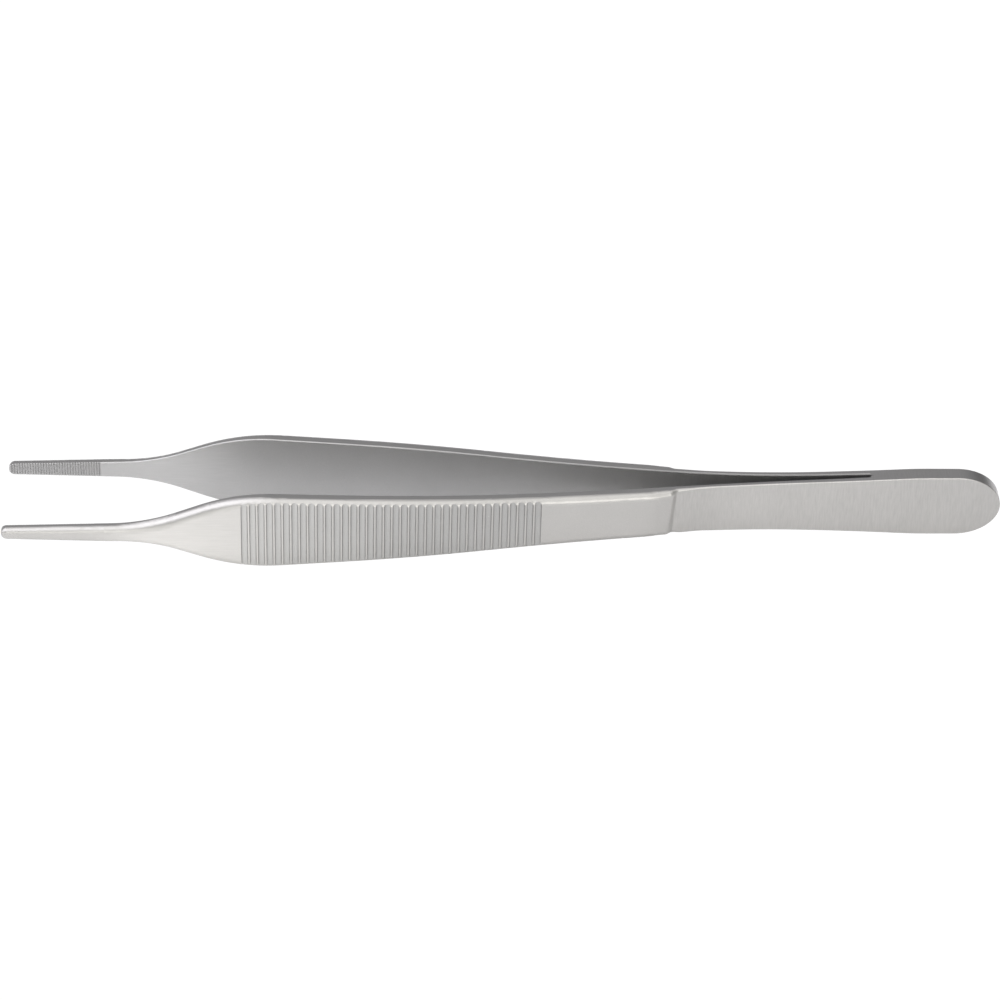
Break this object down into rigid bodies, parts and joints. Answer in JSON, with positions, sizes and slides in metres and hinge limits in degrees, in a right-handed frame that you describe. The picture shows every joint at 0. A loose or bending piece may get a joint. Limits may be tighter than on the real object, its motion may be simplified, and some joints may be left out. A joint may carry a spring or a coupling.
{
  "type": "thumb forceps",
  "caption": "Slender satin stainless steel thumb forceps with sprung arms, cross-grooved grips, narrow serrated jaws and a solid rounded butt.",
  "frame": {"origin": "under the middle of the overall length and of the gap between the arms, level with the lowest edges of the grips", "axes": "+X along the length towards the closed end, with the jaw tips at -X; +Y the way the right arm opens; +Z across the width of the arms, up as the forceps lies on its side edges"},
  "size_m": [0.12, 0.0152, 0.0098],
  "materials": {
    "satin_steel": "satin"
  },
  "bodies": {
    "root": {"left_arm": "satin_steel", "right_arm": "satin_steel"}
  },
  "joints": []
}
